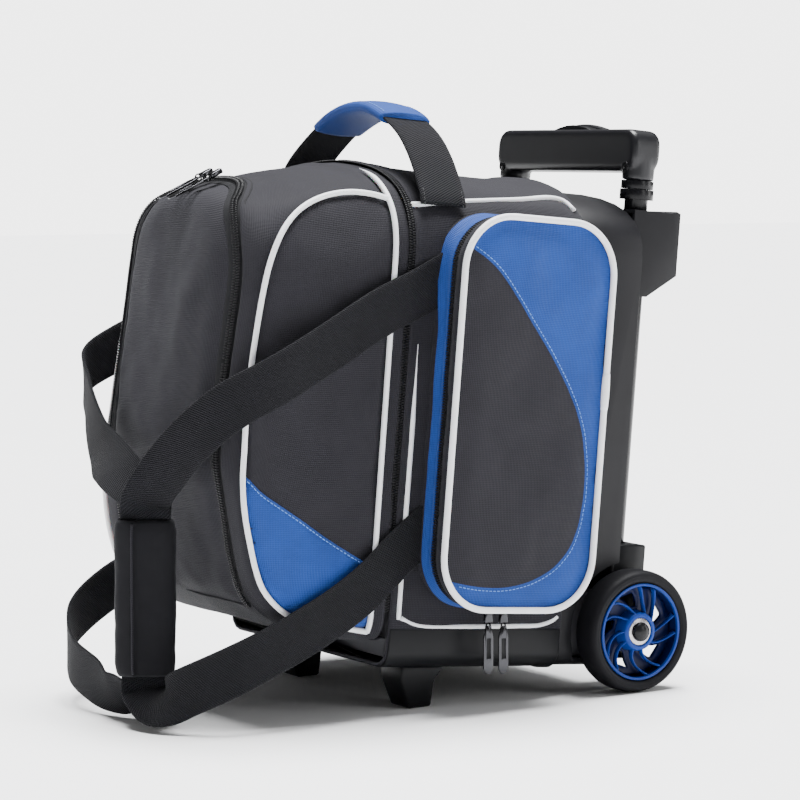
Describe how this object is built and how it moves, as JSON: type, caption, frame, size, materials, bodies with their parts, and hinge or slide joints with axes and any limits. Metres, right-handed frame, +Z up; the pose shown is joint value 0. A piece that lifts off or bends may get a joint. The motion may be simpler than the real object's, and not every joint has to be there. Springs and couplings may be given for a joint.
{
  "type": "bowling ball bag",
  "caption": "Soft-sided wheeled bag for a bowling ball, with a moulded back, pull handle, front door with a shoe pocket, side pockets, carry handle and straps.",
  "frame": {"origin": "on the floor, under the middle of the object's box", "axes": "+Z up, +Y towards the back where the wheels and the pull handle are, -Y towards the front door, +X to the bag's right side as seen from the front"},
  "size_m": [0.314, 0.4893, 0.4812],
  "materials": {
    "black_fabric": "fine twill bag cloth",
    "blue_fabric": "fine twill bag cloth, blue",
    "webbing": "ribbed strap webbing",
    "shell_plastic": "satin moulded, fine grain",
    "plastic": "satin moulded",
    "tube": "black anodised",
    "zip": "black coil zip and tape",
    "metal": "bright nickel",
    "axle_steel": "black, semi-gloss",
    "rubber": "soft black tread",
    "rim": "moulded blue, semi-gloss",
    "foam": "dense foam under lining cloth",
    "white_piping": "soft white corded piping"
  },
  "bodies": {
    "bag": {"base_tray": "plastic", "back_shell": "shell_plastic", "main_shell": "black_fabric", "ball_cradle": "foam", "foot_right": "plastic", "foot_left": "plastic", "axle": "axle_steel", "wheel_housing_right": "plastic", "wheel_housing_left": "plastic", "handle_housing": "shell_plastic", "outer_tube_right": "tube", "outer_tube_left": "tube", "main_zip_bag": "zip", "main_slider": "metal", "pocket_gusset_right": "blue_fabric", "pocket_gusset_left": "blue_fabric", "pocket_zip_right": "zip", "pocket_zip_left": "zip", "pocket_rear_right_slider": "metal", "pocket_front_right_slider": "metal", "pocket_rear_left_slider": "metal", "pocket_front_left_slider": "metal", "carry_tab_right": "webbing", "carry_tab_left": "webbing"},
    "wheel_right": {"tyre_right": "rubber", "rim_right": "rim", "bearing_right": "metal"},
    "wheel_left": {"tyre_left": "rubber", "rim_left": "rim", "bearing_left": "metal"},
    "handle_stage_one": {"stage_one_right": "tube", "stage_one_left": "tube"},
    "handle_stage_two": {"stage_two_right": "tube", "stage_two_left": "tube", "grip": "plastic", "button_spring": "metal"},
    "release": {"release_button": "plastic", "release_linkage": "metal"},
    "front_door": {"door_shell": "black_fabric", "front_zip": "zip", "front_panel": "black_fabric", "main_zip_door": "zip"},
    "front_flap": {"front_flap": "black_fabric", "front_right_slider": "metal", "front_left_slider": "metal"},
    "pocket_door_right": {"pocket_flap_right": "black_fabric"},
    "pocket_door_left": {"pocket_flap_left": "black_fabric"},
    "carry_handle": {"carry_webbing": "webbing", "carry_grip": "blue_fabric"},
    "carry_strap_right": {"strap_right": "webbing", "strap_wrap": "black_fabric"},
    "carry_strap_left": {"strap_left": "webbing"},
    "main_pull": {"main_pull": "metal"},
    "front_right_pull": {"front_right_pull": "metal"},
    "front_left_pull": {"front_left_pull": "metal"},
    "pocket_rear_right_pull": {"pocket_rear_right_pull": "metal"},
    "pocket_front_right_pull": {"pocket_front_right_pull": "metal"},
    "pocket_rear_left_pull": {"pocket_rear_left_pull": "metal"},
    "pocket_front_left_pull": {"pocket_front_left_pull": "metal"}
  },
  "joints": [
    {"name": "wheel_right_spin", "type": "hinge", "parent": "bag", "child": "wheel_right", "pos_m": [0.12975, 0.1776, 0.05], "axis": [1, 0, 0], "continuous": true},
    {"name": "wheel_left_spin", "type": "hinge", "parent": "bag", "child": "wheel_left", "pos_m": [-0.12975, 0.1776, 0.05], "axis": [1, 0, 0], "continuous": true},
    {"name": "handle_stage_one_slide", "type": "slide", "parent": "bag", "child": "handle_stage_one", "axis": [0, 0.0872, 0.9962], "range_m": [0, 0.27]},
    {"name": "handle_stage_two_slide", "type": "slide", "parent": "handle_stage_one", "child": "handle_stage_two", "axis": [0, 0.0872, 0.9962], "range_m": [0, 0.27]},
    {"name": "release_button_press", "type": "slide", "parent": "handle_stage_two", "child": "release", "axis": [0, -0.0872, -0.9962], "range_m": [0, 0.004], "stiffness_N_per_m": 900, "springref_m": -0.004, "deforming": ["button_spring"]},
    {"name": "carry_handle_flop", "type": "hinge", "parent": "bag", "child": "carry_handle", "pos_m": [0, 0.00388, 0.41654], "axis": [1, 0, 0], "range_deg": [-50, 50], "deforming": ["carry_webbing"]},
    {"name": "front_door_hinge", "type": "hinge", "parent": "bag", "child": "front_door", "pos_m": [0, -0.05658, 0.06045], "axis": [1, 0, 0], "range_deg": [0, 45], "deforming": ["strap_right", "strap_left", "strap_wrap"]},
    {"name": "front_flap_hinge", "type": "hinge", "parent": "front_door", "child": "front_flap", "pos_m": [0, -0.1891, 0.28285], "axis": [1, 0, 0], "range_deg": [0, 90]},
    {"name": "pocket_door_right_hinge", "type": "hinge", "parent": "bag", "child": "pocket_door_right", "pos_m": [0.1424, 0.12684, 0.2271], "axis": [0, 0.0872, 0.9962], "range_deg": [0, 100]},
    {"name": "pocket_door_left_hinge", "type": "hinge", "parent": "bag", "child": "pocket_door_left", "pos_m": [-0.1424, 0.12684, 0.2271], "axis": [0, -0.0872, -0.9962], "range_deg": [0, 100]},
    {"name": "carry_strap_right_swing", "type": "hinge", "parent": "bag", "child": "carry_strap_right", "pos_m": [0.1225, -0.0284, 0.235], "axis": [0, 0, 1], "range_deg": [0, 85]},
    {"name": "carry_strap_left_swing", "type": "hinge", "parent": "bag", "child": "carry_strap_left", "pos_m": [-0.1225, -0.0284, 0.235], "axis": [0, 0, -1], "range_deg": [0, 85]},
    {"name": "pocket_rear_right_pull_swing", "type": "hinge", "parent": "bag", "child": "pocket_rear_right_pull", "pos_m": [0.14185, 0.04056, 0.06701], "axis": [0, -1, 0], "range_deg": [-20, 120]},
    {"name": "pocket_front_right_pull_swing", "type": "hinge", "parent": "bag", "child": "pocket_front_right_pull", "pos_m": [0.14185, 0.02612, 0.06827], "axis": [0, -1, 0], "range_deg": [-20, 120]},
    {"name": "pocket_rear_left_pull_swing", "type": "hinge", "parent": "bag", "child": "pocket_rear_left_pull", "pos_m": [-0.14185, 0.04056, 0.06701], "axis": [0, 1, 0], "range_deg": [-20, 120]},
    {"name": "pocket_front_left_pull_swing", "type": "hinge", "parent": "bag", "child": "pocket_front_left_pull", "pos_m": [-0.14185, 0.02612, 0.06827], "axis": [0, 1, 0], "range_deg": [-20, 120]},
    {"name": "main_pull_swing", "type": "hinge", "parent": "bag", "child": "main_pull", "pos_m": [-0.1242, -0.04133, 0.23478], "axis": [0, 1, 0], "range_deg": [0, 120]},
    {"name": "front_right_pull_swing", "type": "hinge", "parent": "front_flap", "child": "front_right_pull", "pos_m": [0.0075, -0.14845, 0.41932], "axis": [-1, 0, 0], "range_deg": [0, 120]},
    {"name": "front_left_pull_swing", "type": "hinge", "parent": "front_flap", "child": "front_left_pull", "pos_m": [-0.0075, -0.14845, 0.41932], "axis": [-1, 0, 0], "range_deg": [0, 120]}
  ],
  "couplings": [
    {"joint": "carry_strap_right_swing", "follows": "front_door_hinge", "ratio": 1.88},
    {"joint": "carry_strap_left_swing", "follows": "front_door_hinge", "ratio": 1.88}
  ]
}
